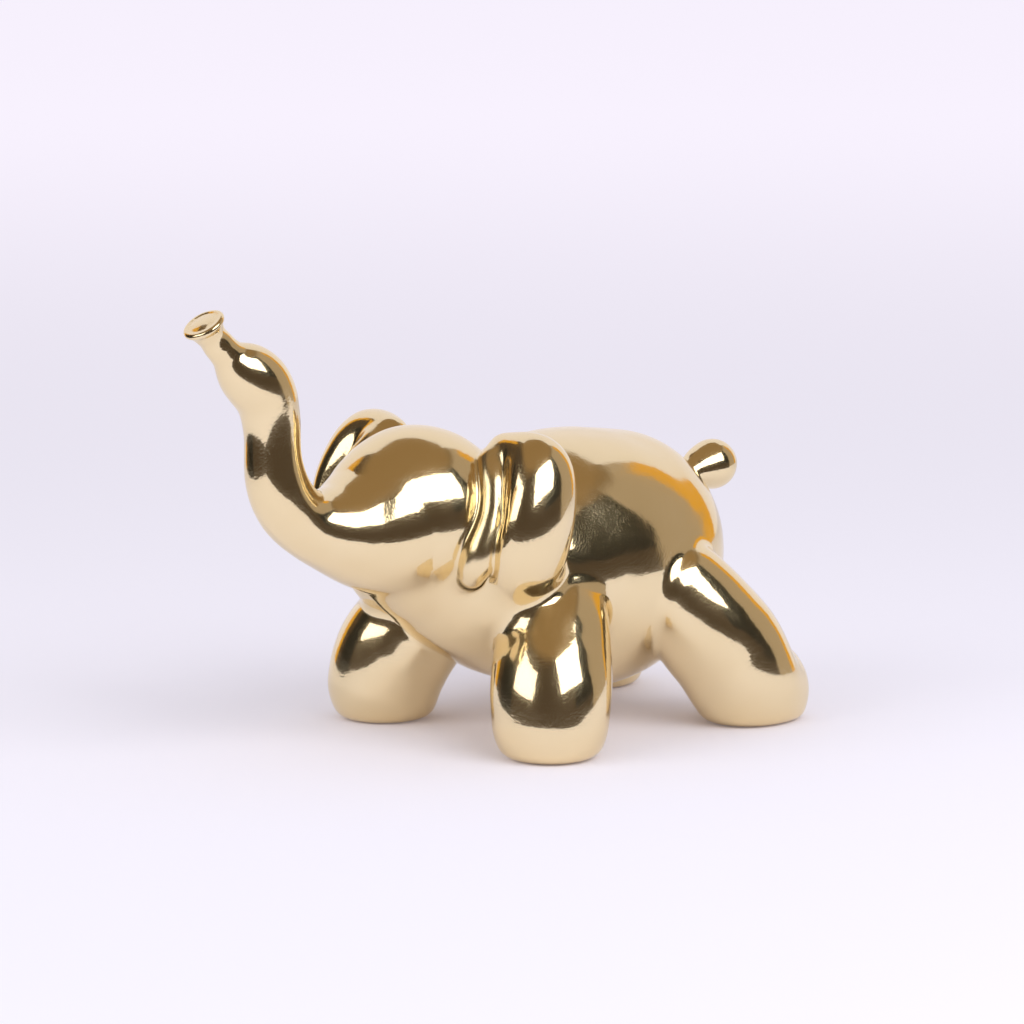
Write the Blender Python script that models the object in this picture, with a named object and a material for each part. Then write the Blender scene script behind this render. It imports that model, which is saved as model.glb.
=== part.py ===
"""Ceramic elephant figurine, cast in one piece in the style of joined toy balloons.

The animal faces -Y and its left side is +X; +Z is up and the soles stand on z = 0. Each part of the
body is a lobe: a round or oval section carried along a curved path, with a round end. Boolean unions
join the lobes into one closed body, and a slab under the floor plane cuts the four soles flat.
"""

import math

import bpy
import numpy as np

MM = 0.001

# Driving dimensions, in millimetres. "Ahead" runs from the middle of the four feet towards the trunk,
# "aside" from the middle plane to the animal's left, and "height" up from the floor.

FOOT_ASIDE = 44.0
FRONT_FOOT_AHEAD = 51.5
HIND_FOOT_AHEAD = -43.0
LEG_RADIUS = 20.0

BODY_HEIGHT = 55.5
BODY_RADIUS = 45.0

HEAD_AHEAD = 73.0
HEAD_HEIGHT = 79.4
HEAD_RADIUS = 29.5
TRUNK_RADIUS = 10.0

EAR_AHEAD = 62.5
EAR_ASIDE = 49.0
EAR_HEIGHT = 80.5
EAR_RADIUS = 11.6
FOLD_RADIUS = 5.4

CUP_TILT = math.radians(57.0)
CUP_LENGTH = 10.0
CUP_NECK_RADIUS = 4.9
CUP_LIP_RADIUS = 7.6
CUP_LIP_ROUND = 0.9
CUP_DEPTH = 3.4

TAIL_HEIGHT = 81.5
TAIL_KNOB_RADIUS = 9.4

# Paths of the lobes in the middle plane. Each row holds ahead, height, half thickness, half width.

BODY_PATH = (
    (-12.0, BODY_HEIGHT + 1.5, 0.93 * BODY_RADIUS, 0.86 * BODY_RADIUS),
    (2.0, BODY_HEIGHT - 0.5, BODY_RADIUS, 0.97 * BODY_RADIUS),
    (20.0, BODY_HEIGHT - 0.5, 0.94 * BODY_RADIUS, 0.88 * BODY_RADIUS),
    (44.5, BODY_HEIGHT + 1.5, 0.74 * BODY_RADIUS, 0.70 * BODY_RADIUS),
    (64.5, BODY_HEIGHT + 5.0, 0.51 * BODY_RADIUS, 0.49 * BODY_RADIUS),
)

HEAD_PATH = (
    (HEAD_AHEAD - 13.0, HEAD_HEIGHT - 6.5, 0.75 * HEAD_RADIUS, 0.72 * HEAD_RADIUS),
    (HEAD_AHEAD - 6.0, HEAD_HEIGHT - 3.0, 0.93 * HEAD_RADIUS, 0.89 * HEAD_RADIUS),
    (HEAD_AHEAD, HEAD_HEIGHT, HEAD_RADIUS, 0.96 * HEAD_RADIUS),
    (HEAD_AHEAD + 6.5, HEAD_HEIGHT - 0.5, 0.955 * HEAD_RADIUS, 0.915 * HEAD_RADIUS),
    (HEAD_AHEAD + 13.5, HEAD_HEIGHT - 1.9, 0.84 * HEAD_RADIUS, 0.81 * HEAD_RADIUS),
    (94.0, 76.5, 2.10 * TRUNK_RADIUS, 2.04 * TRUNK_RADIUS),
    (101.5, 76.5, 1.76 * TRUNK_RADIUS, 1.73 * TRUNK_RADIUS),
    (110.5, 77.5, 1.42 * TRUNK_RADIUS, 1.42 * TRUNK_RADIUS),
    (121.0, 81.0, 1.15 * TRUNK_RADIUS, 1.15 * TRUNK_RADIUS),
    (131.0, 89.5, 1.07 * TRUNK_RADIUS, 1.07 * TRUNK_RADIUS),
    (135.5, 109.0, 0.94 * TRUNK_RADIUS, 0.94 * TRUNK_RADIUS),
    (139.0, 126.5, 1.05 * TRUNK_RADIUS, 1.05 * TRUNK_RADIUS),
    (146.0, 133.5, 0.97 * TRUNK_RADIUS, 0.97 * TRUNK_RADIUS),
    (152.5, 138.5, 0.61 * TRUNK_RADIUS, 0.61 * TRUNK_RADIUS),
    (157.0, 143.0, CUP_NECK_RADIUS, CUP_NECK_RADIUS),
)

# Paths of the limbs. Each row holds ahead, aside, height, radius.

FRONT_LEG_PATH = (
    (FRONT_FOOT_AHEAD, FOOT_ASIDE + 0.5, 12.0, 0.98 * LEG_RADIUS),
    (FRONT_FOOT_AHEAD - 10.0, FOOT_ASIDE - 9.5, 33.0, 1.01 * LEG_RADIUS),
    (FRONT_FOOT_AHEAD - 17.5, FOOT_ASIDE - 15.5, 54.0, 0.73 * LEG_RADIUS),
)

HIND_LEG_PATH = (
    (HIND_FOOT_AHEAD, FOOT_ASIDE, 10.0, 0.94 * LEG_RADIUS),
    (HIND_FOOT_AHEAD + 9.0, FOOT_ASIDE - 1.5, 22.0, LEG_RADIUS),
    (HIND_FOOT_AHEAD + 31.0, FOOT_ASIDE - 10.0, 49.5, 0.91 * LEG_RADIUS),
)

EAR_PATH = (
    (EAR_AHEAD - 4.0, EAR_ASIDE - 18.0, EAR_HEIGHT + 24.0, 0.40 * EAR_RADIUS),
    (EAR_AHEAD - 2.5, EAR_ASIDE - 2.0, EAR_HEIGHT + 14.0, 0.91 * EAR_RADIUS),
    (EAR_AHEAD, EAR_ASIDE, EAR_HEIGHT, EAR_RADIUS),
    (EAR_AHEAD - 1.0, EAR_ASIDE - 8.0, EAR_HEIGHT - 15.0, 0.97 * EAR_RADIUS),
    (EAR_AHEAD - 1.0, EAR_ASIDE - 17.5, EAR_HEIGHT - 23.5, 1.00 * EAR_RADIUS),
)

EAR_FOLD_PATH = (
    (EAR_AHEAD + 3.0, EAR_ASIDE - 17.5, EAR_HEIGHT + 21.0, 0.90 * FOLD_RADIUS),
    (EAR_AHEAD + 5.5, EAR_ASIDE - 16.5, EAR_HEIGHT + 12.0, 1.00 * FOLD_RADIUS),
    (EAR_AHEAD + 7.5, EAR_ASIDE - 14.0, EAR_HEIGHT + 1.5, 1.00 * FOLD_RADIUS),
    (EAR_AHEAD + 9.5, EAR_ASIDE - 16.0, EAR_HEIGHT - 9.0, 0.96 * FOLD_RADIUS),
    (EAR_AHEAD + 12.0, EAR_ASIDE - 19.5, EAR_HEIGHT - 17.5, 0.70 * FOLD_RADIUS),
    (EAR_AHEAD + 13.5, EAR_ASIDE - 22.0, EAR_HEIGHT - 21.5, 0.30 * FOLD_RADIUS),
)

EAR_ROOT_PATH = (
    (EAR_AHEAD - 2.5, EAR_ASIDE - 16.0, EAR_HEIGHT + 14.0, 1.55 * FOLD_RADIUS),
    (EAR_AHEAD - 2.5, EAR_ASIDE - 14.0, EAR_HEIGHT, 2.00 * FOLD_RADIUS),
    (EAR_AHEAD - 1.0, EAR_ASIDE - 18.0, EAR_HEIGHT - 18.0, 1.90 * FOLD_RADIUS),
)

TAIL_PATH = (
    (-40.0, 0.0, TAIL_HEIGHT - 6.0, 0.62 * TAIL_KNOB_RADIUS),
    (-52.0, 0.0, TAIL_HEIGHT - 2.5, 0.68 * TAIL_KNOB_RADIUS),
    (-59.0, 0.0, TAIL_HEIGHT - 0.8, 0.90 * TAIL_KNOB_RADIUS),
    (-62.0, 0.0, TAIL_HEIGHT, 0.93 * TAIL_KNOB_RADIUS),
)

GOLD_GLAZE = {"colour": (0.83, 0.62, 0.31, 1.0), "roughness": 0.1, "metallic": 1.0}

# How far along a path a ring's direction is averaged, as a share of the ring's radius, and the
# largest sine of a skin's lean against its path.

STEADY_REACH = 0.7
STEEPEST_LEAN = 0.9

# The block under the floor plane that cuts the soles flat.

SLAB_SIDE = 300.0
SLAB_DEPTH = 50.0

# Fineness of the faceted body: rings along a lobe, points round a ring, rings in a round end. The cup
# has its own rings in the flaring neck, the rolled lip and the bowl.

FINENESS = {
    "body": (14, 32, 7),
    "head_and_trunk": (48, 26, 5),
    "leg": (9, 24, 6),
    "ear": (12, 18, 4),
    "ear_fold": (14, 12, 3),
    "ear_root": (6, 14, 3),
    "tail": (7, 18, 5),
}
CUP_FINENESS = (4, 3, 4)


def smooth_rows(rows, count, place_columns):
    """Rows read at even steps from the natural cubic spline through the given rows.

    The spline's parameter is the chord length over the first place_columns columns. Its second
    derivatives solve the usual three-term equations, with zero at both ends.
    """
    knots = np.array(rows, float)
    last = len(knots) - 1
    steps = np.linalg.norm(np.diff(knots[:, :place_columns], axis=0), axis=1)
    at = np.concatenate(([0.0], np.cumsum(steps)))
    slopes = np.diff(knots, axis=0) / steps[:, None]
    left = np.eye(last + 1)
    right = np.zeros_like(knots)
    for i in range(1, last):
        left[i, i - 1 : i + 2] = steps[i - 1], 2.0 * (steps[i - 1] + steps[i]), steps[i]
        right[i] = 6.0 * (slopes[i] - slopes[i - 1])
    bend = np.linalg.solve(left, right)
    x = np.linspace(0.0, at[-1], count)
    i = np.clip(np.searchsorted(at, x, side="right") - 1, 0, last - 1)
    span = steps[i][:, None]
    near = (at[i + 1] - x)[:, None] / span
    far = 1.0 - near
    straight = near * knots[i] + far * knots[i + 1]
    return straight + ((near**3 - near) * bend[i] + (far**3 - far) * bend[i + 1]) * span**2 / 6.0


def lobe_rings(centres, thick, wide, around, cap_rings, open_end=False):
    """Points (ring, around, xyz) on the skin round a row of balls, from pole to pole.

    A ball of radius r at path length s touches the skin where its surface leans by asin(-dr/ds), so a
    ring sits r sin(lean) along the path from the ball's centre, with radius r cos(lean). At each end
    the lean runs on to the pole. thick is the radius in the plane of the path, wide across it.
    """
    steps = np.gradient(centres, axis=0)
    speed = np.linalg.norm(steps, axis=1)
    tangents = steady_directions(steps, speed, thick)
    lean = np.arcsin(np.clip(-np.gradient(thick) / speed, -STEEPEST_LEAN, STEEPEST_LEAN))
    quarter = math.pi / 2.0
    start = np.linspace(-quarter, lean[0], cap_rings + 1)[:-1]
    finish = np.linspace(lean[-1], quarter, cap_rings + 1)[1:]
    if open_end:
        finish = finish[:0]
    first = np.zeros(len(start), int)
    final = np.full(len(finish), len(centres) - 1)
    ball = np.concatenate([first, np.arange(len(centres)), final])
    lean = np.concatenate([start, lean, finish])[:, None]
    along = tangents[ball]
    across = level_across(along)
    upward = np.cross(across, along)
    middle = centres[ball] + along * thick[ball][:, None] * np.sin(lean)
    tall = upward * thick[ball][:, None] * np.cos(lean)
    broad = across * wide[ball][:, None] * np.cos(lean)
    return rings_about(middle, tall, broad, around)


def steady_directions(steps, speed, reach):
    """Unit directions of a path, each averaged over about its own ball's radius along the path.

    A thick lobe's rings would cross on the inside of a short bend if they followed the bend exactly.
    """
    length = np.cumsum(speed)
    apart = length[:, None] - length[None, :]
    weight = np.exp(-0.5 * (apart / (STEADY_REACH * reach[:, None])) ** 2)
    mean = weight @ steps
    return mean / np.linalg.norm(mean, axis=1, keepdims=True)


def level_across(along):
    """Unit vectors at right angles to each path direction, chosen nearest to +X."""
    across = np.array((1.0, 0.0, 0.0)) - along[:, :1] * along
    return across / np.linalg.norm(across, axis=1, keepdims=True)


def rings_about(middle, tall, broad, around):
    """Ellipses with the given centres and half axes, as points (ring, around, xyz)."""
    turn = np.linspace(0.0, 2.0 * math.pi, around, endpoint=False)[None, :, None]
    return middle[:, None, :] + np.cos(turn) * tall[:, None, :] + np.sin(turn) * broad[:, None, :]


def in_world(ahead, aside, height):
    """Points in metres from distances ahead, aside and up in millimetres."""
    return np.stack([aside, -ahead, height], axis=-1) * MM


def middle_lobe(path, fineness, open_end=False):
    """A lobe in the middle plane, from rows of ahead, height, half thickness and half width."""
    rings, around, cap_rings = fineness
    ahead, height, thick, wide = smooth_rows(path, rings, 2).T
    centres = in_world(ahead, np.zeros(rings), height)
    return lobe_rings(centres, thick * MM, wide * MM, around, cap_rings, open_end)


def limb_lobe(path, fineness):
    """A round lobe from rows of ahead, aside, height and radius."""
    rings, around, cap_rings = fineness
    ahead, aside, height, radius = smooth_rows(path, rings, 3).T
    centres = in_world(ahead, aside, height)
    return lobe_rings(centres, radius * MM, radius * MM, around, cap_rings)


def mirrored(rings):
    """The same rings on the other side, run round the other way so that the faces still face out."""
    return rings[:, ::-1] * np.array((-1.0, 1.0, 1.0))


def cup_rings(neck_centre, around):
    """Rings of the trunk's open tip: a flaring neck, a rolled lip and a shallow bowl inside it.

    The neck's radius grows with the square of the way to the lip. The lip is a half circle in section,
    and the bowl is a quarter ellipse that ends at its lowest point.
    """
    along = np.array((0.0, -math.cos(CUP_TILT), math.sin(CUP_TILT)))
    across = np.array((1.0, 0.0, 0.0))
    upward = np.cross(across, along)
    neck_rings, lip_rings, bowl_rings = CUP_FINENESS
    way = np.linspace(0.0, 1.0, neck_rings + 1)[1:]
    flare = CUP_NECK_RADIUS + (CUP_LIP_RADIUS - CUP_NECK_RADIUS) * way**2
    lip_turn = np.linspace(0.0, math.pi, lip_rings + 2)[1:-1]
    lip_middle = CUP_LIP_RADIUS - CUP_LIP_ROUND
    bowl_turn = np.linspace(0.0, math.pi / 2.0, bowl_rings)
    bowl_radius = CUP_LIP_RADIUS - 2.0 * CUP_LIP_ROUND
    out = np.concatenate(
        [
            flare,
            lip_middle + CUP_LIP_ROUND * np.cos(lip_turn),
            bowl_radius * np.cos(bowl_turn),
        ]
    )
    up = np.concatenate(
        [
            CUP_LENGTH * way,
            CUP_LENGTH + CUP_LIP_ROUND * np.sin(lip_turn),
            CUP_LENGTH - CUP_DEPTH * np.sin(bowl_turn),
        ]
    )
    middle = neck_centre + up[:, None] * MM * along
    return rings_about(middle, out[:, None] * MM * upward, out[:, None] * MM * across, around)


def head_and_trunk():
    """The head and trunk lobe, which ends in the cup."""
    fineness = FINENESS["head_and_trunk"]
    lobe = middle_lobe(HEAD_PATH, fineness, open_end=True)
    ahead, height = HEAD_PATH[-1][:2]
    neck_centre = in_world(ahead, 0.0, height)
    return np.concatenate([lobe, cup_rings(neck_centre, fineness[1])])


def all_lobes():
    """Ring points of every lobe by name. The body comes first, because the others are joined to it."""
    lobes = {
        "body": middle_lobe(BODY_PATH, FINENESS["body"]),
        "head_and_trunk": head_and_trunk(),
        "tail": limb_lobe(TAIL_PATH, FINENESS["tail"]),
    }
    pairs = {
        "front_leg": (FRONT_LEG_PATH, "leg"),
        "hind_leg": (HIND_LEG_PATH, "leg"),
        "ear": (EAR_PATH, "ear"),
        "ear_fold": (EAR_FOLD_PATH, "ear_fold"),
        "ear_root": (EAR_ROOT_PATH, "ear_root"),
    }
    for name, (path, fineness) in pairs.items():
        left = limb_lobe(path, FINENESS[fineness])
        lobes[f"{name}_left"] = left
        lobes[f"{name}_right"] = mirrored(left)
    return lobes


def centred(lobes):
    """The lobes moved so that the middle of their common length is over the origin."""
    low = min(rings[..., 1].min() for rings in lobes.values())
    high = max(rings[..., 1].max() for rings in lobes.values())
    shift = np.array((0.0, -(low + high) / 2.0, 0.0))
    return {name: rings + shift for name, rings in lobes.items()}


def closed_mesh(name, rings):
    """A mesh from rings of points. The first and last rings have shrunk to a point: each is one pole."""
    count, around = rings.shape[:2]
    poles = [rings[0].mean(axis=0), rings[-1].mean(axis=0)]
    points = np.concatenate([rings[1:-1].reshape(-1, 3), poles])
    first_pole = len(points) - 2
    last_pole = len(points) - 1
    faces = []
    for i in range(around):
        j = (i + 1) % around
        for ring in range(count - 3):
            row = ring * around
            faces.append((row + i, row + j, row + around + j, row + around + i))
        row = (count - 3) * around
        faces.append((first_pole, j, i))
        faces.append((last_pole, row + i, row + j))
    mesh = bpy.data.meshes.new(name)
    mesh.from_pydata(points.tolist(), [], faces)
    mesh.validate()
    mesh.shade_smooth()
    return mesh


def make_object(name, mesh):
    thing = bpy.data.objects.new(name, mesh)
    bpy.context.scene.collection.objects.link(thing)
    return thing


def make_guide(name, mesh):
    """An object that only takes part in a Boolean."""
    guide = make_object(name, mesh)
    guide.hide_render = True
    guide.display_type = "WIRE"
    return guide


def combine(thing, other, operation):
    """Adds a Boolean modifier that joins the other object to this one, or cuts it away."""
    modifier = thing.modifiers.new(f"{operation.lower()} {other.name}", "BOOLEAN")
    modifier.operation = operation
    modifier.solver = "EXACT"
    modifier.object = other


def floor_slab():
    """The slab under the floor plane, as a box."""
    reach = SLAB_SIDE * MM / 2.0
    heights = (-SLAB_DEPTH * MM, 0.0)
    corners = [(x, y, z) for z in heights for y in (-reach, reach) for x in (-reach, reach)]
    faces = [(0, 2, 3, 1), (4, 5, 7, 6), (0, 1, 5, 4), (2, 6, 7, 3), (0, 4, 6, 2), (1, 3, 7, 5)]
    mesh = bpy.data.meshes.new("floor_slab")
    mesh.from_pydata(corners, [], faces)
    return mesh


def glaze_material():
    """The gold lustre glaze that covers the whole figurine."""
    material = bpy.data.materials.new("gold_glaze")
    material.use_nodes = True
    shader = material.node_tree.nodes["Principled BSDF"]
    shader.inputs["Base Color"].default_value = GOLD_GLAZE["colour"]
    shader.inputs["Roughness"].default_value = GOLD_GLAZE["roughness"]
    shader.inputs["Metallic"].default_value = GOLD_GLAZE["metallic"]
    material.diffuse_color = GOLD_GLAZE["colour"]
    return material


def build():
    for thing in list(bpy.data.objects):
        bpy.data.objects.remove(thing)
    lobes = centred(all_lobes())
    figurine = make_object("elephant_figurine", closed_mesh("elephant_figurine", lobes.pop("body")))
    figurine.data.materials.append(glaze_material())
    for name, rings in lobes.items():
        combine(figurine, make_guide(f"{name}_lobe", closed_mesh(name, rings)), "UNION")
    combine(figurine, make_guide("floor_slab", floor_slab()), "DIFFERENCE")


build()
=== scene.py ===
"""Mirror-gold ceramic elephant figurine, cast in one piece in the style of joined toy balloons.

The skin is worked out as one surface. Every part of the animal is a row of balls along a curved path, and
each gives a signed distance with its slope. Soft joins of those distances give the fillets of the casting,
and the whole is meshed with a surface net, refined where it turns sharply.
"""

import math

import bpy
import numpy as np
from mathutils import Matrix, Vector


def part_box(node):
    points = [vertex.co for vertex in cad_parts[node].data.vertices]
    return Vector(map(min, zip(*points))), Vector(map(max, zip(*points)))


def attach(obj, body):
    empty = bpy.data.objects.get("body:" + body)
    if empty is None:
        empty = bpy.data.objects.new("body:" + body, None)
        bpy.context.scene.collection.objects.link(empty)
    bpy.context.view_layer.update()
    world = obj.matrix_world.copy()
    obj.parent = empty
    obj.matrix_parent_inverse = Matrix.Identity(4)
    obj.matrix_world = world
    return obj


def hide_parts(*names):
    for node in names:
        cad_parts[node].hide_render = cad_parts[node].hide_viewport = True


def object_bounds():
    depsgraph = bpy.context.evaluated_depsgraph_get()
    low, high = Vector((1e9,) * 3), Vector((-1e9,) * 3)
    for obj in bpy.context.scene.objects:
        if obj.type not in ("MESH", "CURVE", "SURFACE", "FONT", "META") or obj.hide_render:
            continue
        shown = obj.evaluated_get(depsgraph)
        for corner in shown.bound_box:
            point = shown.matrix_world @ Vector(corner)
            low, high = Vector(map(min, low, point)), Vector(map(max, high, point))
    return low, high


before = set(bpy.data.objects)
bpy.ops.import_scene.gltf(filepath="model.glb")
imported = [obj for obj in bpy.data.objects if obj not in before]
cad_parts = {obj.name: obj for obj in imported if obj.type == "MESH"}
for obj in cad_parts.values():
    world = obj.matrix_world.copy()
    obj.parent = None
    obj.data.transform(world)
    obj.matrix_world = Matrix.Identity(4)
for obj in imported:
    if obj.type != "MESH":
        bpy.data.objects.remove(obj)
cad_low, cad_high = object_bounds()

NODE = "elephant_figurine"
MM = 0.001

# ---------------------------------------------------------------- the figurine's own measures
# Rows hold ahead, aside, height and radius in millimetres: ahead of the middle of the four feet, to the
# animal's left, and up from the table. A fifth number is the width as a share of the height.

# Where the tail's knob ends, ahead of that middle.

TAIL_END = -70.7

BODY = (
    (-12.0, 0.0, 57.3, 41.5, 0.95),
    (1.0, 0.0, 55.7, 45.0, 0.98),
    (14.0, 0.0, 57.3, 43.4, 1.01),
    (27.0, 0.0, 56.8, 40.1, 1.08),
    (38.6, 0.0, 58.1, 36.2, 1.13),
    (51.6, 0.0, 58.1, 29.8, 1.09),
    (64.5, 0.0, 60.5, 22.9, 1.0),
)
HEAD_AND_TRUNK = (
    (60.0, 0.0, 72.5, 22.1, 0.94),
    (66.5, 0.0, 76.6, 26.2, 1.06),
    (74.4, 0.0, 79.7, 29.4, 0.98),
    (77.5, 0.0, 79.4, 29.0, 0.94),
    (85.3, 0.0, 77.7, 25.3, 1.0),
    (93.5, 0.0, 76.7, 21.4, 1.03),
    (101.8, 0.0, 76.6, 17.6, 1.05),
    (110.7, 0.0, 77.8, 14.2, 1.09),
    (121.3, 0.0, 81.1, 11.5, 1.04),
    (129.1, 0.0, 87.3, 10.8, 1.0),
    (134.2, 0.0, 96.8, 10.2, 1.0),
    (135.6, 0.0, 108.0, 9.4, 1.0),
    (136.3, 0.0, 118.6, 9.8, 1.0),
    (138.4, 0.0, 125.4, 10.4, 1.0),
    (145.2, 0.0, 133.0, 10.1, 1.0),
    (152.7, 0.0, 138.7, 6.0, 1.0),
    (157.0, 0.0, 143.0, 4.9, 1.0),
)
FRONT_LEG = (
    (53.8, 45.1, 12.4, 19.6),
    (52.8, 44.2, 17.4, 20.1),
    (51.4, 42.8, 22.1, 20.4),
    (49.4, 40.8, 26.9, 20.3),
    (46.7, 38.1, 32.2, 19.8),
    (42.8, 35.2, 38.9, 18.4),
    (36.5, 31.7, 46.5, 15.2),
)
HIND_LEG = (
    (-42.8, 41.8, 9.9, 19.1),
    (-37.8, 44.2, 12.2, 19.1),
    (-30.1, 42.1, 25.1, 20.1),
    (-24.3, 39.9, 32.7, 20.0),
    (-18.8, 37.2, 40.0, 19.3),
    (-13.6, 33.5, 46.7, 18.7),
)
EAR = (
    (54.4, 25.1, 100.4, 6.9, 1.22),
    (52.6, 36.4, 96.8, 11.0, 0.99),
    (54.7, 40.9, 88.9, 13.4, 0.78),
    (57.4, 43.1, 79.9, 13.7, 0.67),
    (58.1, 41.0, 70.8, 14.3, 0.59),
    (56.8, 35.6, 63.5, 13.0, 0.73),
    (56.5, 30.4, 57.0, 11.2, 0.98),
    (56.6, 25.0, 52.5, 10.6, 1.34),
)
EAR_FOLD = (
    (61.1, 24.2, 97.8, 5.1),
    (63.1, 26.7, 94.2, 5.2),
    (64.6, 28.8, 90.4, 5.2),
    (65.8, 30.3, 86.4, 5.2),
    (67.2, 31.2, 82.2, 5.3),
    (68.9, 31.7, 77.9, 5.6),
    (70.7, 31.5, 73.7, 6.0),
    (72.3, 30.9, 69.5, 6.2),
    (73.3, 29.9, 65.7, 5.6),
    (73.4, 28.3, 62.2, 4.2),
)
EAR_ROOT = (
    (55.5, 34.0, 94.0, 7.5),
    (56.0, 36.0, 80.5, 9.0),
    (57.5, 32.5, 66.0, 9.0),
)
TAIL = (
    (-46.1, 0.0, 70.1, 5.9),
    (-44.8, 0.0, 76.8, 5.2),
    (-52.5, 0.0, 79.8, 5.5),
    (-57.6, 0.0, 81.0, 7.6),
    (-61.7, 0.0, 81.6, 8.8),
)

# The casting is not quite even: how much further ahead and out the right ear and the right front leg stand
# than the left ones.

FAR_EAR_OUT = (5.0, 7.0)
FAR_LEG_OUT = (-1.5, -2.0)

# The trunk's flared tip: the middle of its mouth and the rise of its axis, then its length, the radii of its
# neck and lip, how far it bends sideways, how far its mouth is domed, the bead's two radii, how far the bead
# lies below the mouth, and how far the tip reaches into the trunk.

CUP_MOUTH = np.array((163.7, 0.0, 151.0))
CUP_TILT = math.radians(57.0)
CUP_LENGTH = 11.6
CUP_NECK = 4.3
CUP_LIP = 6.7
CUP_BEND = 1.9
CUP_CROWN = 1.1
CUP_BEAD = (6.2, 1.0)
CUP_BEAD_DROP = 0.3
CUP_ROOT = 1.0

# How wide the joins are, in millimetres. A join with a second width takes it on over the two heights.

JOIN_HEAD = 5.0
JOIN_CHIN = (12.0, 62.0, 45.0)
JOIN_FRONT_LEG = 2.5
JOIN_HIND_LEG = 2.5
JOIN_TAIL = 3.0
JOIN_CUP = 3.0
JOIN_BEAD = 1.0
JOIN_FOLD = 1.8
JOIN_FOLD_TOP = (4.0, 92.0, 102.0)
JOIN_EAR_ROOT = 2.0
JOIN_EAR = 1.8
JOIN_EAR_FOOT = (8.0, 68.0, 54.0)
LIP_ROUND = 0.8
ROOT_ROUND = 1.0
SOLE_ROUND = 3.4

# How far outside a lobe's box its distance still matters.

CLEAR = 10.0

# ---------------------------------------------------------------- paths


def spline(rows, spacing):
    """Rows read at even steps from the natural cubic spline through the given rows.

    The parameter is the chord length over the first three columns, and the second derivatives solve the
    usual three-term equations with zero at both ends. A row without a fifth number gets 1 there.
    """
    knots = np.array([row if len(row) == 5 else (*row, 1.0) for row in rows])
    last = len(knots) - 1
    steps = np.linalg.norm(np.diff(knots[:, :3], axis=0), axis=1)
    at = np.concatenate(([0.0], np.cumsum(steps)))
    slopes = np.diff(knots, axis=0) / steps[:, None]
    left = np.eye(last + 1)
    right = np.zeros_like(knots)
    for i in range(1, last):
        left[i, i - 1 : i + 2] = steps[i - 1], 2.0 * (steps[i - 1] + steps[i]), steps[i]
        right[i] = 6.0 * (slopes[i] - slopes[i - 1])
    bend = np.linalg.solve(left, right)
    x = np.linspace(0.0, at[-1], max(8, int(at[-1] / spacing)))
    i = np.clip(np.searchsorted(at, x, side="right") - 1, 0, last - 1)
    span = steps[i][:, None]
    near = (at[i + 1] - x)[:, None] / span
    far = 1.0 - near
    straight = near * knots[i] + far * knots[i + 1]
    return straight + ((near**3 - near) * bend[i] + (far**3 - far) * bend[i + 1]) * span**2 / 6.0


# ---------------------------------------------------------------- distances with slopes
# A field is an array of four columns: the signed distance in millimetres, negative inside, and its slope.


def lobe(points, balls):
    """Distance to a row of balls: the least of |p - centre| - radius over the row.

    The least sample and its two neighbours give a parabola, whose lowest point picks the ball between
    samples, so the skin is smooth. Across the animal, lengths are divided by the ball's width share.
    Points well outside the row's box get their distance to that box.
    """
    reach = balls[:, 3:4] + CLEAR
    low, high = (balls[:, :3] - reach).min(0), (balls[:, :3] + reach).max(0)
    away = np.linalg.norm(np.maximum(0.0, np.maximum(low - points, points - high)), axis=1)
    field = np.zeros((len(points), 4))
    field[:, 0] = away + CLEAR
    close = away == 0.0
    field[close] = close_lobe(points[close], balls)
    return field


def close_lobe(points, balls):
    """The same distance without the box."""
    centre, radius, share = balls[:, :3], balls[:, 3], balls[:, 4]
    flat = points[:, [0, 2]]
    middle = centre[:, [0, 2]]
    square = (flat**2).sum(1)[:, None] - 2.0 * flat @ middle.T + (middle**2).sum(1)
    square += ((points[:, 1:2] - centre[:, 1]) / share) ** 2
    distance = np.sqrt(np.maximum(square, 1e-9)) - radius
    row = np.arange(len(points))
    best = np.clip(distance.argmin(1), 1, len(balls) - 2)
    before, here, after = distance[row, best - 1], distance[row, best], distance[row, best + 1]
    turn = np.maximum(before - 2.0 * here + after, 1e-9)
    shift = np.clip(0.5 * (before - after) / turn, -1.0, 1.0)[:, None]
    rise = 0.5 * (balls[best + 1] - balls[best - 1])
    curve = balls[best + 1] - 2.0 * balls[best] + balls[best - 1]
    ball = balls[best] + shift * rise + 0.5 * shift**2 * curve
    arm = points - ball[:, :3]
    arm[:, 1] /= ball[:, 4]
    reach = np.linalg.norm(arm, axis=1, keepdims=True) + 1e-9
    slope = arm / reach
    slope[:, 1] /= ball[:, 4]
    return np.concatenate([reach - ball[:, 3:4], slope], axis=1)


def join(a, b, width):
    """Union of two fields with a fillet: a parabola replaces the corner where they differ by less than width.

    The share of a is 1/2 + (b - a) / (2 width), held between 0 and 1. The distance and the slope are both
    mixed by that share, and the distance then drops by width times share times (1 - share).
    """
    width = np.broadcast_to(np.asarray(width, float), a[:, 0].shape)[:, None]
    share = np.clip(0.5 + 0.5 * (b[:, :1] - a[:, :1]) / width, 0.0, 1.0)
    mixed = share * a + (1.0 - share) * b
    mixed[:, :1] -= width * share * (1.0 - share)
    return mixed


def cut(a, b, width):
    """The part of a that is also inside b, with a rounded edge: the join of the two outsides, turned back."""
    return -join(-a, -b, width)


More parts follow.
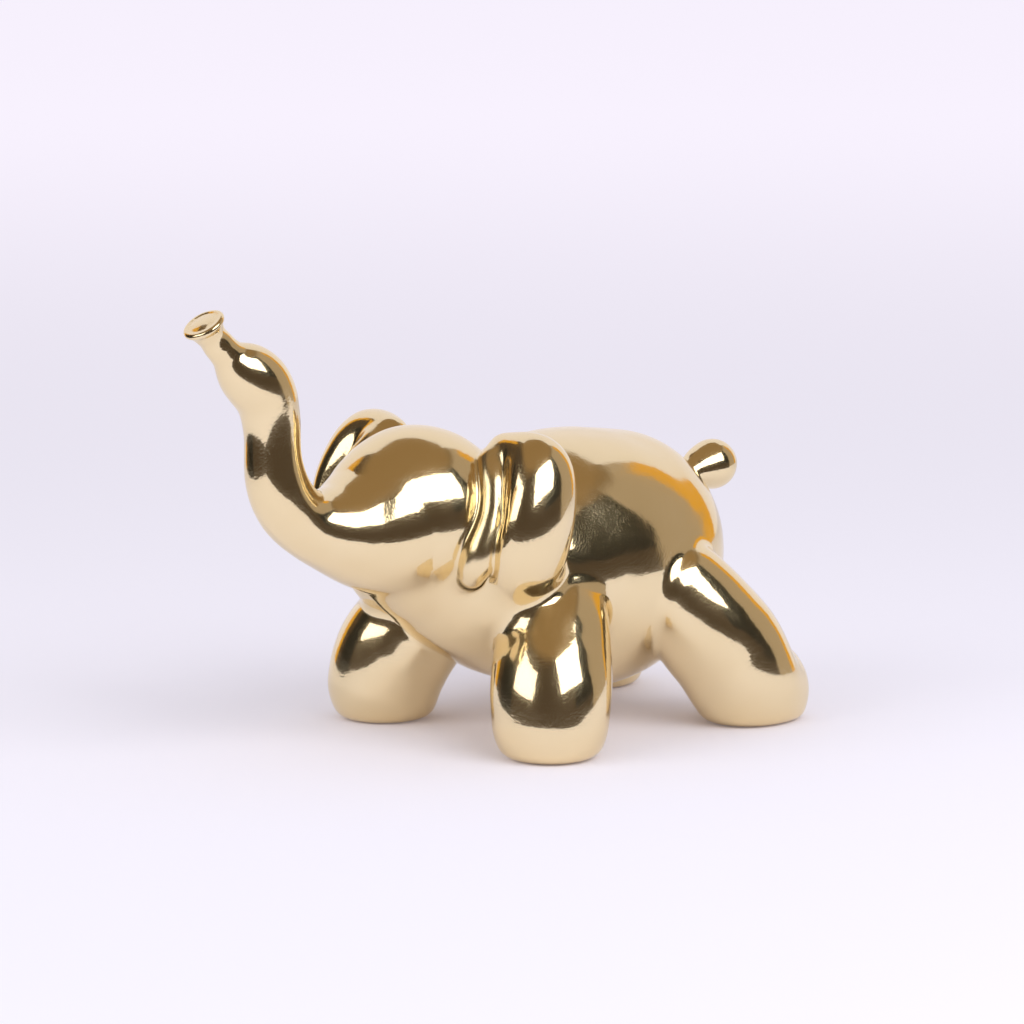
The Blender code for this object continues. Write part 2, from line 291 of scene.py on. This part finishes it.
def cup_field(points):
    """The trunk's flared tip, closed by a slightly domed mouth with a bead round it.

    With q the share of the way from the mouth down to the neck, the flare's radius is the neck's plus the
    rest times (1 - q) squared, and its middle moves sideways with q squared. Its distance is
    (rho - R) over the root of 1 + R' squared. The mouth is a ball's cap and the bead is a ring.
    """
    axis = np.array((math.cos(CUP_TILT), 0.0, math.sin(CUP_TILT)))
    side = np.array((-math.sin(CUP_TILT), 0.0, math.cos(CUP_TILT)))
    arm = points - CUP_MOUTH
    level = arm @ axis
    down = np.clip(-level / CUP_LENGTH, 0.0, 1.2)
    out = arm - level[:, None] * axis - (CUP_BEND * down**2)[:, None] * side
    rho = np.linalg.norm(out, axis=1) + 1e-9
    outward = out / rho[:, None]
    left = np.clip(1.0 - down, 0.0, 1.0)
    flare = CUP_NECK + (CUP_LIP - CUP_NECK) * left**2
    lean = 2.0 * (CUP_LIP - CUP_NECK) * left / CUP_LENGTH
    lean = lean - 2.0 * CUP_BEND * down / CUP_LENGTH * (outward @ side)
    scale = np.sqrt(1.0 + lean**2)
    flank = np.concatenate(
        [((rho - flare) / scale)[:, None], (outward - lean[:, None] * axis) / scale[:, None]], axis=1
    )
    round_off = (CUP_LIP**2 + CUP_CROWN**2) / (2.0 * CUP_CROWN)
    crown = points - (CUP_MOUTH + (CUP_CROWN - round_off) * axis)
    reach = np.linalg.norm(crown, axis=1) + 1e-9
    crown = np.concatenate([(reach - round_off)[:, None], crown / reach[:, None]], axis=1)
    below = -level - CUP_LENGTH - CUP_ROOT
    foot = np.concatenate([below[:, None], np.broadcast_to(-axis, points.shape)], axis=1)
    wide, thick = CUP_BEAD
    around = (rho - wide)[:, None] * outward + (level + CUP_BEAD_DROP)[:, None] * axis
    near = np.linalg.norm(around, axis=1) + 1e-9
    bead = np.concatenate([(near - thick)[:, None], around / near[:, None]], axis=1)
    tip = cut(cut(flank, crown, LIP_ROUND), foot, ROOT_ROUND)
    return join(tip, bead, JOIN_BEAD)


def steps_up(x, low, high):
    """0 below low, 1 above high, and the smooth cubic step between them."""
    t = np.clip((x - low) / (high - low), 0.0, 1.0)
    return t * t * (3.0 - 2.0 * t)


def width_at(high, width, then):
    """A join's width, which goes smoothly over to a second one between two heights."""
    second, start, end = then
    return width + (second - width) * steps_up(high, start, end)


def both_sides(points):
    """The points with the right half folded onto the left, and the sign that folds them."""
    sign = np.where(points[:, 1] < 0.0, -1.0, 1.0)
    folded = points.copy()
    folded[:, 1] *= sign
    return folded, sign


BALLS = {
    "body": spline(BODY, 1.6),
    "head_and_trunk": spline(HEAD_AND_TRUNK, 1.2),
    "front_leg": spline(FRONT_LEG, 1.2),
    "hind_leg": spline(HIND_LEG, 1.2),
    "ear": spline(EAR, 1.2),
    "ear_fold": spline(EAR_FOLD, 1.0),
    "ear_root": spline(EAR_ROOT, 1.2),
    "tail": spline(TAIL, 0.8),
}

# The waviness is the same in every run.

WAVES = np.random.default_rng(11)


def wave_table(count, length, height):
    """Plane waves of about one length in all directions: wave vectors, phases and heights."""
    way = WAVES.normal(size=(count, 3))
    way /= np.linalg.norm(way, axis=1, keepdims=True)
    number = 2.0 * math.pi / (length * WAVES.uniform(0.75, 1.35, count))
    return way * number[:, None], WAVES.uniform(0.0, 2.0 * math.pi, count), np.full(count, height)


# How many waves there are, and their length and height in millimetres.

SLOW = wave_table(14, 26.0, 0.020)
QUICK = wave_table(26, 9.0, 0.0055)
UNEVEN = [np.concatenate(parts) for parts in zip(SLOW, QUICK)]


def uneven(points):
    """The hand-cast skin's slight waviness: a sum of sine waves, with its slope."""
    way, phase, height = UNEVEN
    angle = points @ way.T + phase
    return np.concatenate([(np.sin(angle) @ height)[:, None], (np.cos(angle) * height) @ way], axis=1)


def moved(near, sign, ahead_and_out):
    """The folded points, with the right half's moved so that its lobe stands that much ahead and out."""
    points = near.copy()
    points[sign < 0.0, :2] -= ahead_and_out
    return points


def skin(points):
    """The field of the whole figurine: ears, legs, head with trunk, body and tail, joined and cut flat.

    Each fold joins its ear and its root. The head, the legs, the ears and the tail then join the body one
    after another, the waviness is added, and the floor cuts the soles.
    """
    near, sign = both_sides(points)
    high = near[:, 2]
    spread = moved(near, sign, FAR_EAR_OUT)
    fold = lobe(spread, BALLS["ear_fold"])
    ear = join(lobe(spread, BALLS["ear"]), fold, width_at(high, JOIN_FOLD, JOIN_FOLD_TOP))
    ear = join(ear, lobe(near, BALLS["ear_root"]), JOIN_EAR_ROOT)
    front = lobe(moved(near, sign, FAR_LEG_OUT), BALLS["front_leg"])
    hind = lobe(near, BALLS["hind_leg"])
    for limb in (ear, front, hind):
        limb[:, 2] *= sign
    head = lobe(points, BALLS["head_and_trunk"])
    head = join(head, cup_field(points), JOIN_CUP)
    whole = join(lobe(points, BALLS["body"]), head, width_at(high, JOIN_HEAD, JOIN_CHIN))
    whole = join(whole, front, JOIN_FRONT_LEG)
    whole = join(whole, hind, JOIN_HIND_LEG)
    whole = join(whole, ear, width_at(high, JOIN_EAR, JOIN_EAR_FOOT))
    whole = join(whole, lobe(points, BALLS["tail"]), JOIN_TAIL)
    whole += uneven(points)
    floor = np.zeros_like(whole)
    floor[:, 0] = -high
    floor[:, 3] = -1.0
    return cut(whole, floor, SOLE_ROUND)


def skin_in_parts(points):
    """The same field, worked out for a few thousand points at a time to stay in the processor's cache."""
    parts = max(1, len(points) // 6000)
    return np.concatenate([skin(part) for part in np.array_split(points, parts)])


# ---------------------------------------------------------------- the surface net

CORNERS = np.array([(i, j, k) for i in (0, 1) for j in (0, 1) for k in (0, 1)])
EDGES = [(a, b) for a in range(8) for b in range(a + 1, 8) if np.abs(CORNERS[a] - CORNERS[b]).sum() == 1]


# A coarse cell may be crossed if a corner is nearer to the skin than this many steps.

NEAR_SKIN = 1.25


def sample_box(low, high, step, fine):
    """Distances on a grid of the fine step, worked out only in the coarse cells that the skin may cross.

    Elsewhere a grid point keeps the sign of its nearest coarse point.
    """
    counts = np.ceil((high - low) / step).astype(int) + 1
    axes = [low[i] + step * np.arange(counts[i]) for i in range(3)]
    nodes = np.stack(np.meshgrid(*axes, indexing="ij"), axis=-1)
    coarse = skin_in_parts(nodes.reshape(-1, 3))[:, 0].reshape(counts)
    crossed = np.zeros(counts - 1, bool)
    for i, j, k in CORNERS:
        part = coarse[i : i + counts[0] - 1, j : j + counts[1] - 1, k : k + counts[2] - 1]
        crossed |= np.abs(part) < NEAR_SKIN * step
    cells = np.argwhere(crossed)
    size = (counts - 1) * fine + 1
    values = np.repeat(np.repeat(np.repeat(coarse[:-1, :-1, :-1], fine, 0), fine, 1), fine, 2)
    values = np.pad(values, [(0, 1)] * 3, mode="edge")
    offsets = np.stack(np.meshgrid(*[np.arange(fine + 1)] * 3, indexing="ij"), axis=-1).reshape(-1, 3)
    wanted = (cells[:, None, :] * fine + offsets).reshape(-1, 3)
    wanted = np.unique(np.ravel_multi_index(wanted.T, size))
    index = np.stack(np.unravel_index(wanted, size), axis=1)
    values.reshape(-1)[wanted] = skin_in_parts(low + index * (step / fine))[:, 0]
    return values


def surface_net(values, low, step):
    """One point for each grid cell that the surface crosses, and one quad for each crossed grid edge.

    The point is the mean of the crossings on the cell's edges, and a quad joins the four cells round its
    edge, turned so that it faces out.
    """
    inside = values < 0.0
    size = np.array(values.shape) - 1
    full = sum(
        inside[i : i + size[0], j : j + size[1], k : k + size[2]].astype(np.int8) for i, j, k in CORNERS
    )
    cells = np.argwhere((full > 0) & (full < 8))
    number = np.full(size, -1)
    number[tuple(cells.T)] = np.arange(len(cells))
    at = [values[tuple((cells + corner).T)] for corner in CORNERS]
    total = np.zeros((len(cells), 3))
    count = np.zeros((len(cells), 1))
    for a, b in EDGES:
        crossed = ((at[a] < 0.0) != (at[b] < 0.0))[:, None]
        share = (at[a] / np.where(crossed[:, 0], at[a] - at[b], 1.0))[:, None]
        total += np.where(crossed, CORNERS[a] + share * (CORNERS[b] - CORNERS[a]), 0.0)
        count += crossed
    points = low + (cells + total / count) * step
    quads = []
    for axis in range(3):
        one, two = [i for i in range(3) if i != axis]
        ahead = np.moveaxis(inside, axis, 0)
        change = np.argwhere(np.moveaxis(ahead[1:] != ahead[:-1], 0, axis))
        out = inside[tuple(change.T)]
        step_one = np.eye(3, dtype=int)[one]
        step_two = np.eye(3, dtype=int)[two]
        ring = [change, change - step_one, change - step_one - step_two, change - step_two]
        quad = np.stack([number[tuple(cell.T)] for cell in ring], axis=1)
        flip = out if axis == 1 else ~out
        quad[flip] = quad[flip][:, ::-1]
        quads.append(quad)
    return points, np.concatenate(quads)


# The distance that a filled corner gets, in millimetres.

JUST_INSIDE = -0.02


def close_pinches(values):
    """Fills the grid squares whose inside corners meet only across a diagonal.

    Two sheets of the skin would share an edge there. Filling one square may pinch the next, so it goes on
    until none is left.
    """
    for _ in range(8):
        filled = values.copy()
        for one, two in ((0, 1), (0, 2), (1, 2)):
            inside = np.moveaxis(values < 0.0, (one, two), (0, 1))
            target = np.moveaxis(filled, (one, two), (0, 1))
            a, b, c, d = inside[:-1, :-1], inside[1:, :-1], inside[:-1, 1:], inside[1:, 1:]
            crossed = (a == d) & (b == c) & (a != b)
            for corner in (target[:-1, :-1], target[1:, :-1], target[:-1, 1:], target[1:, 1:]):
                corner[crossed & (corner >= 0.0)] = JUST_INSIDE
        if (filled == values).all():
            break
        values = filled
    return values


def main_shell(points, triangles):
    """The largest connected shell: each point takes the lowest number it can reach along the edges."""
    edges = edges_of(triangles)[0]
    label = np.arange(len(points))
    while True:
        low = label.copy()
        np.minimum.at(low, edges[:, 0], label[edges[:, 1]])
        np.minimum.at(low, edges[:, 1], label[edges[:, 0]])
        low = low[low]
        if (low == label).all():
            break
        label = low
    kept = label == np.bincount(label).argmax()
    number = np.cumsum(kept) - 1
    return points[kept], number[triangles[kept[triangles[:, 0]]]]


def triangles_of(points, quads):
    """Two triangles for each quad, split along its shorter diagonal."""
    corner = points[quads]
    one = np.linalg.norm(corner[:, 0] - corner[:, 2], axis=1)
    two = np.linalg.norm(corner[:, 1] - corner[:, 3], axis=1)
    short = np.where((one < two)[:, None], quads, np.roll(quads, -1, axis=1))
    return np.concatenate([short[:, [0, 1, 2]], short[:, [0, 2, 3]]])


def edges_of(triangles):
    """The mesh's edges, each once, and the three edges of each triangle by number."""
    pairs = np.concatenate([triangles[:, [0, 1]], triangles[:, [1, 2]], triangles[:, [2, 0]]])
    edges, number = np.unique(np.sort(pairs, axis=1), axis=0, return_inverse=True)
    return edges, number.reshape(3, -1).T


# The least square of a slope that a point's way back to the skin is divided by, and the longest such way.

LEAST_SLOPE = 0.05
LONGEST_WAY = 0.6


def settle(points, triangles, rounds):
    """Evens the points out along the skin and puts them back onto it.

    Each point moves halfway to the mean of its neighbours, less the part of that move along the normal, and
    then by -distance times slope over the slope's square. It returns the points and their unit normals.
    """
    edges = edges_of(triangles)[0]
    ends = np.concatenate([edges, edges[:, ::-1]])
    degree = np.bincount(ends[:, 0], minlength=len(points))[:, None]
    for i in range(rounds):
        if i:
            total = [np.bincount(ends[:, 0], points[ends[:, 1], k], len(points)) for k in range(3)]
            move = 0.5 * (np.stack(total, axis=1) / degree - points)
            points = points + move - (move * normals).sum(1, keepdims=True) * normals
        for _ in range(2):
            field = skin_in_parts(points)
            slope = field[:, 1:]
            square = (slope**2).sum(1, keepdims=True)
            step = np.clip(field[:, :1] / np.maximum(square, LEAST_SLOPE), -LONGEST_WAY, LONGEST_WAY)
            points = points - step * slope
        normals = slope / np.sqrt(np.maximum(square, 1e-9))
    slope = skin_in_parts(points)[:, 1:]
    return points, slope / np.linalg.norm(slope, axis=1, keepdims=True)


def refine(points, triangles, normals, turn, shortest):
    """Splits each edge along which the skin turns by more than the given angle, unless it is short already.

    A triangle with one, two or three split edges becomes two, three or four triangles.
    """
    edges, sides = edges_of(triangles)
    a, b = points[edges[:, 0]], points[edges[:, 1]]
    cosine = (normals[edges[:, 0]] * normals[edges[:, 1]]).sum(1)
    split = (cosine < math.cos(turn)) & (np.linalg.norm(a - b, axis=1) > shortest)
    middle = np.full(len(edges), -1)
    middle[split] = len(points) + np.arange(split.sum())
    points = np.concatenate([points, 0.5 * (a + b)[split]])
    marks = split[sides]
    kinds = marks.sum(1)
    made = [triangles[kinds == 0]]
    for kind in (1, 2, 3):
        tri, side, mark = triangles[kinds == kind], sides[kinds == kind], marks[kinds == kind]
        first = (~mark).argmax(1) + 1 if kind == 2 else mark.argmax(1)
        order = (first[:, None] + np.arange(3)) % 3
        p, q, r = np.take_along_axis(tri, order, 1).T
        pq, qr, rp = middle[np.take_along_axis(side, order, 1)].T
        if kind == 1:
            made += [np.stack(t, 1) for t in ((p, pq, r), (pq, q, r))]
        elif kind == 2:
            made += [np.stack(t, 1) for t in ((pq, q, qr), (p, pq, qr), (p, qr, r))]
        else:
            made += [np.stack(t, 1) for t in ((p, pq, rp), (pq, q, qr), (rp, qr, r), (pq, qr, rp))]
    return points, np.concatenate(made)


# The net's box, the coarse grid's step and its number of fine steps. The refining splits the edges along
# which the skin turns by more than so many degrees, if they are longer than so many millimetres.

NET_LOW = np.array((-76.3, -67.7, -5.2))
NET_HIGH = np.array((172.0, 68.0, 161.0))
NET_STEP = 5.4
NET_FINE = 4
SPLIT_TURN = math.radians(11.0)
SPLIT_LENGTH = 0.45


def figurine_mesh():
    """The whole skin as points, triangles and normals, in millimetres."""
    values = close_pinches(sample_box(NET_LOW, NET_HIGH, NET_STEP, NET_FINE))
    points, quads = surface_net(values, NET_LOW, NET_STEP / NET_FINE)
    points, triangles = main_shell(points, triangles_of(points, quads))
    points, normals = settle(points, triangles, 3)
    for _ in range(2):
        points, triangles = refine(points, triangles, normals, SPLIT_TURN, SPLIT_LENGTH)
        points, normals = settle(points, triangles, 2)
    return points, triangles, normals


def in_frame(vectors, place):
    """Ahead, aside and height turned into the frame's axes; places also go from millimetres to metres."""
    out = np.stack([vectors[:, 1], -vectors[:, 0], vectors[:, 2]], axis=1)
    if place:
        low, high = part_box(NODE)
        out = out * MM + np.array((0.0, high.y + TAIL_END * MM, low.z))
    return out


# Where the folds' duller lustre starts to fade and where it ends, in millimetres off a fold.

FOLD_FADE = (0.3, 3.0)


def fold_share(points):
    """1 on the ears' inner folds, falling smoothly to 0 off them."""
    spread = moved(*both_sides(points), FAR_EAR_OUT)
    return 1.0 - steps_up(lobe(spread, BALLS["ear_fold"])[:, 0], *FOLD_FADE)


def build_mesh(name, points, triangles, normals):
    mesh = bpy.data.meshes.new(name)
    mesh.vertices.add(len(points))
    mesh.vertices.foreach_set("co", points.astype(np.float32).ravel())
    mesh.loops.add(triangles.size)
    mesh.loops.foreach_set("vertex_index", triangles.astype(np.int32).ravel())
    mesh.polygons.add(len(triangles))
    mesh.polygons.foreach_set("loop_start", np.arange(0, triangles.size, 3, dtype=np.int32))
    mesh.update()
    mesh.validate()
    mesh.shade_smooth()
    mesh.normals_split_custom_set_from_vertices(normals.astype(np.float32))
    return mesh


def link(thing):
    bpy.context.scene.collection.objects.link(thing)
    return thing


def make_figurine():
    points, triangles, normals = figurine_mesh()
    mesh = build_mesh("gold_elephant", in_frame(points, True), triangles, in_frame(normals, False))
    share = mesh.attributes.new("fold_share", "FLOAT", "POINT")
    share.data.foreach_set("value", fold_share(points).astype(np.float32))
    piece = link(bpy.data.objects.new("gold_elephant", mesh))
    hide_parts(NODE)
    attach(piece, "root")
    return piece


# ---------------------------------------------------------------- shader expressions


class Value:
    """A socket of numbers: an expression on it adds its Math nodes."""

    def __init__(self, wiring, socket):
        self.wiring = wiring
        self.socket = socket

    def math(self, operation, *others):
        """Another Math node on this value."""
        inputs = dict(enumerate((self, *others)))
        return self.wiring.node("ShaderNodeMath", {"operation": operation}, inputs)

    def __add__(self, other):
        return self.math("ADD", other)

    def __sub__(self, other):
        return self.math("SUBTRACT", other)

    def __rsub__(self, other):
        return self.wiring.node("ShaderNodeMath", {"operation": "SUBTRACT"}, {0: other, 1: self})

    def __mul__(self, other):
        return self.math("MULTIPLY", other)

    def __truediv__(self, other):
        return self.math("DIVIDE", other)

    __radd__ = __add__
    __rmul__ = __mul__

    def above(self, edge, soft):
        """0 well below the edge and 1 well above it, going evenly over the soft width."""
        settings = {"interpolation_type": "SMOOTHSTEP"}
        inputs = {0: self, 1: edge - soft / 2.0, 2: edge + soft / 2.0}
        return self.wiring.node("ShaderNodeMapRange", settings, inputs)

    def between(self, low, high, soft):
        """1 between the two edges and 0 outside them."""
        return self.above(low, soft) * (1.0 - self.above(high, soft))


class Wiring:
    """Adds nodes to one node tree."""

    def __init__(self, tree):
        self.tree = tree
        tree.nodes.clear()

    def node(self, kind, settings, inputs, output=0):
        """A node of the kind, with its settings made first and then its sockets set or linked."""
        made = self.tree.nodes.new(kind)
        for name, setting in settings.items():
            setattr(made, name, setting)
        for key, value in inputs.items():
            if isinstance(value, Value):
                self.tree.links.new(value.socket, made.inputs[key])
            else:
                made.inputs[key].default_value = value
        return Value(self, made.outputs[output])

    def mix(self, share, one, two):
        """The first colour where the share is 0 and the second where it is 1."""
        return self.node("ShaderNodeMix", {"data_type": "RGBA"}, {0: share, 6: one, 7: two}, 2)

    def along(self, vector, axis):
        """How far the vector reaches along the axis."""
        inputs = {0: vector, 1: axis.tolist()}
        return self.node("ShaderNodeVectorMath", {"operation": "DOT_PRODUCT"}, inputs, "Value")

    def finish(self, kind, surface):
        """Links the shader to the tree's output node."""
        out = self.tree.nodes.new(kind)
        self.tree.links.new(surface.socket, out.inputs["Surface"])


def colour(red, green, blue):
    return (red, green, blue, 1.0)


def new_material(name):
    material = bpy.data.materials.new(name)
    material.use_nodes = True
    return material, Wiring(material.node_tree)


# The lustre's two golds, the scales of its noises, the middle and width of a speck's edge, the depths of its
# bumps in metres, and its haze's roughness.

DEEP_GOLD = colour(0.86, 0.70, 0.41)
PALE_GOLD = colour(0.92, 0.77, 0.49)
CLOUD_SCALE = 45.0
PEEL_SCALE = 420.0
GRAIN_SCALE = 1500.0
SPECK_SCALE = 2200.0
SPECK_EDGE = (0.62, 0.12)
PEEL_DEPTH = 0.00002
GRAIN_DEPTH = 0.000012
SAND_DEPTH = 0.00006
HAZE_ROUGHNESS = 0.24


def gold_lustre():
    """Fired gold lustre over glaze: a clear metal mirror under a thin, sandy haze of the same metal.

    The mirror's roughness is 0.05, plus 0.04 of a slow cloud and 0.14 on the ears' inner folds, which took
    less polish. The haze covers 0.12 of it, plus 0.14 of the cloud and 0.14 of fine specks. Both lie on an
    orange-peel bump with a fine grain, and the haze has that grain again, deeper.
    """
    material, w = new_material("gold_lustre")
    place = w.node("ShaderNodeTexCoord", {}, {}, "Object")

    def noise(scale, detail):
        return w.node("ShaderNodeTexNoise", {}, {"Vector": place, "Scale": scale, "Detail": detail})

    def bump(depth, height, under):
        inputs = {"Strength": 1.0, "Distance": depth, "Height": height} | under
        return w.node("ShaderNodeBump", {}, inputs, "Normal")

    def metal(roughness, normal):
        inputs = {"Base Color": tint, "Metallic": 1.0, "Roughness": roughness, "Normal": normal}
        return w.node("ShaderNodeBsdfPrincipled", {}, inputs, "BSDF")

    grain = noise(GRAIN_SCALE, 1.0)
    cloud = noise(CLOUD_SCALE, 3.0)
    speck = noise(SPECK_SCALE, 0.0).above(*SPECK_EDGE)
    fold = w.node("ShaderNodeAttribute", {"attribute_name": "fold_share"}, {}, "Fac")
    tint = w.mix(cloud, DEEP_GOLD, PALE_GOLD)
    peel = bump(PEEL_DEPTH, noise(PEEL_SCALE, 2.0), {})
    smooth = bump(GRAIN_DEPTH, grain, {"Normal": peel})
    sandy = bump(SAND_DEPTH, grain, {"Normal": smooth})
    mirror = metal(0.05 + 0.04 * cloud + 0.14 * fold, smooth)
    haze_and_painted_glow = metal(HAZE_ROUGHNESS, sandy)
    share = 0.12 + 0.14 * cloud + 0.14 * speck
    shader = w.node("ShaderNodeMixShader", {}, {0: share, 1: mirror, 2: haze_and_painted_glow}, "Shader")
    w.finish("ShaderNodeOutputMaterial", shader)
    return material


# ---------------------------------------------------------------- the studio
# Directions in the studio are turned from the camera's own: 0 degrees is towards the camera, positive to the
# right, and the rise is above the table.

CAMERA_TURN = 48.817
CAMERA_DIP = 9.609

# The camera stands this far back, to its own left and up from the feet's middle, in millimetres. Its lens is
# in millimetres on a sensor 36 wide.

CAMERA_BACK = 1972.2
CAMERA_LEFT = 23.594
CAMERA_UP = 70.327
CAMERA_LENS = 200.39
SENSOR = 36.0


def heading(turn, rise):
    """The unit vector at a turn from the camera's direction and a rise above the table, in degrees."""
    a = math.radians(CAMERA_TURN + turn)
    e = math.radians(rise)
    return np.array((math.sin(a) * math.cos(e), -math.cos(a) * math.cos(e), math.sin(e)))


def feet_middle():
    """The middle of the four feet on the table."""
    return np.array((0.0, cad_high.y + TAIL_END * MM, cad_low.z))


def set_square(thing, right, back, place):
    """Puts a lamp or the camera at a place, with its right along one vector and its back along another."""
    turned = np.column_stack([right, np.cross(back, right), back, place])
    thing.matrix_world = Matrix([*turned.tolist(), (0.0, 0.0, 0.0, 1.0)])


def make_camera():
    """A long lens that looks slightly down on the figurine's left front."""
    back = heading(0.0, CAMERA_DIP)
    right = heading(90.0, 0.0)
    up = np.cross(back, right)
    place = feet_middle() + MM * (CAMERA_BACK * back - CAMERA_LEFT * right + CAMERA_UP * up)
    data = bpy.data.cameras.new("camera")
    data.sensor_width = SENSOR
    data.lens = CAMERA_LENS
    data.clip_start = 0.01
    data.clip_end = 50.0
    camera = link(bpy.data.objects.new("camera", data))
    set_square(camera, right, back, place)
    bpy.context.scene.camera = camera


# Each lamp's turn and rise, its width and height in metres, its power in watts and its colour. All stand
# equally far from a point a little above the frame's middle.

LAMPS = {
    "window": (42.6, 36.0, 0.94, 0.71, 6.4, (1.0, 1.0, 1.0)),
    "side_lamp": (-57.0, 28.0, 0.90, 0.58, 3.6, (1.0, 0.98, 0.94)),
}
LAMP_FAR = 1.2
LAMP_AIM = np.array((0.0, 0.0, 0.07))


def softbox(name, turn, rise, wide, tall, power, tint):
    """A rectangular lamp that faces the figurine's middle."""
    data = bpy.data.lights.new(name, "AREA")
    data.shape = "RECTANGLE"
    data.size = wide
    data.size_y = tall
    data.energy = power
    data.color = tint
    lamp = link(bpy.data.objects.new(name, data))
    back = heading(turn, rise)
    set_square(lamp, heading(turn + 90.0, 0.0), back, LAMP_AIM + LAMP_FAR * back)
    lamp.visible_camera = False


# What the lustre mirrors: the dusky walls, the ceiling, and the beige, black, amber and white patches.

WALLS = {
    "dusk": colour(0.072, 0.052, 0.036),
    "ceiling": colour(0.30, 0.20, 0.10),
    "beige": colour(0.44, 0.36, 0.28),
    "black": colour(0.020, 0.018, 0.014),
    "amber": colour(0.80, 0.42, 0.03),
    "sheet": colour(0.90, 0.86, 0.92),
}
PALE_WALL = colour(0.62, 0.62, 0.64)


def make_room():
    """The room that the lustre mirrors, and the pale surround that the camera sees.

    A direction's turn is atan2 of its parts along the camera's right and back, and its rise is the arcsine
    of its upward part. Each wall, lamp shade and sheet is a patch between two turns and two rises.
    """
    world = bpy.data.worlds.new("studio")
    bpy.context.scene.world = world
    world.use_nodes = True
    w = Wiring(world.node_tree)
    way = w.node("ShaderNodeTexCoord", {}, {}, "Generated")

    rightward = w.along(way, heading(90.0, 0.0))
    turn = rightward.math("ARCTAN2", w.along(way, heading(0.0, 0.0))) * math.degrees(1.0)
    rise = w.along(way, heading(0.0, 90.0)).math("ARCSINE") * math.degrees(1.0)
    aside = turn.math("ABSOLUTE")
    room = w.mix(rise.above(52.0, 16.0), WALLS["dusk"], WALLS["ceiling"])
    room = w.mix(turn.between(88.0, 150.0, 6.0) * (1.0 - rise.above(52.0, 8.0)), room, WALLS["beige"])
    room = w.mix(turn.between(50.0, 88.0, 3.0) * rise.between(6.0, 50.0, 4.0), room, WALLS["black"])
    room = w.mix(turn.between(-112.0, -84.0, 4.0) * rise.between(-30.0, 28.0, 5.0), room, WALLS["black"])
    room = w.mix(aside.between(126.0, 150.0, 3.0) * (1.0 - rise.above(44.0, 6.0)), room, WALLS["amber"])
    room = w.mix(aside.above(136.0, 2.0) * (1.0 - rise.above(56.0, 4.0)), room, WALLS["sheet"])
    mirrored = w.node("ShaderNodeLightPath", {}, {}, "Is Glossy Ray")
    seen = w.mix(mirrored, PALE_WALL, room)
    shader = w.node("ShaderNodeBackground", {}, {"Color": seen, "Strength": 1.0}, "Background")
    w.finish("ShaderNodeOutputWorld", shader)


def plain_sheet(name, corners, faces, material):
    mesh = bpy.data.meshes.new(name)
    mesh.from_pydata([(x, y, 0.0) for x, y in corners], [], faces)
    mesh.materials.append(material)
    thing = link(bpy.data.objects.new(name, mesh))
    return thing


# The table's corners and the surrounding floor's, across and towards the camera from the feet, in metres.

TABLE = ((-0.762, -1.2), (0.9, -1.2), (0.9, -0.167), (-0.324, 0.482))
FLOOR = ((-20.0, -20.0), (20.0, -20.0), (20.0, 20.0), (-20.0, 20.0))

# The table's paint, the colour of the painted glow that the table gives off itself as painted light, and how
# much of that glow comes close behind the feet, how much more comes far behind them, and how much the lustre
# mirrors.

TABLE_PAINT = colour(0.89, 0.865, 0.955)
NO_PAINTED_GLOW = colour(0.0, 0.0, 0.0)
PAINTED_GLOW = colour(1.0, 0.9, 0.98)
PAINTED_GLOW_BEHIND = 0.09
PAINTED_GLOW_FAR = 0.28
PAINTED_GLOW_MIRRORED = 0.06


def make_table():
    """The white table, and the pale floor round it at the same level, which the lustre does not mirror.

    The painted glow, light that the table gives off itself, grows from 0.45 m before the feet to 0.05 m
    behind them, and further up to 2.2 m behind them; the lustre mirrors a small, even part of it.
    """
    material, w = new_material("white_table")
    right = heading(90.0, 0.0)
    back = heading(0.0, 0.0)
    place = w.node("ShaderNodeTexCoord", {}, {}, "Object")
    towards = w.along(place, back) - float(feet_middle() @ back)
    direct = w.node("ShaderNodeLightPath", {}, {}, "Is Camera Ray")
    mirrored = w.node("ShaderNodeLightPath", {}, {}, "Is Glossy Ray")
    # Painted light: the table glows by itself, more the further behind the feet, for the camera's rays only.
    haze_and_painted_glow = PAINTED_GLOW_BEHIND * (1.0 - towards.above(0.2, 0.5)) + PAINTED_GLOW_FAR * (1.0 - towards.above(-1.1, 2.2))
    paint = {
        "Base Color": TABLE_PAINT,
        "Roughness": 0.8,
        "Specular IOR Level": 0.0,
        # Painted light: emission that brightens the table for the camera, and a little in the lustre's mirror
        # image.
        "Emission Color": w.mix(direct * haze_and_painted_glow + PAINTED_GLOW_MIRRORED * mirrored, NO_PAINTED_GLOW, PAINTED_GLOW),
        "Emission Strength": 1.0,
    }
    w.finish("ShaderNodeOutputMaterial", w.node("ShaderNodeBsdfPrincipled", {}, paint, "BSDF"))
    inner, outer = (
        [tuple((feet_middle() + across * right + ahead * back)[:2]) for across, ahead in corners]
        for corners in (TABLE, FLOOR)
    )
    plain_sheet("table_top", inner, [(0, 3, 2, 1)], material)
    ring = [(i, i + 4, (i + 1) % 4 + 4, (i + 1) % 4) for i in range(4)]
    surround = plain_sheet("pale_floor", inner + outer, ring, material)
    surround.visible_glossy = False


figurine = make_figurine()
figurine.data.materials.append(gold_lustre())
make_camera()
make_room()
make_table()
for lamp_name, lamp_row in LAMPS.items():
    softbox(lamp_name, *lamp_row)
view = bpy.context.scene.view_settings
view.view_transform = "Standard"
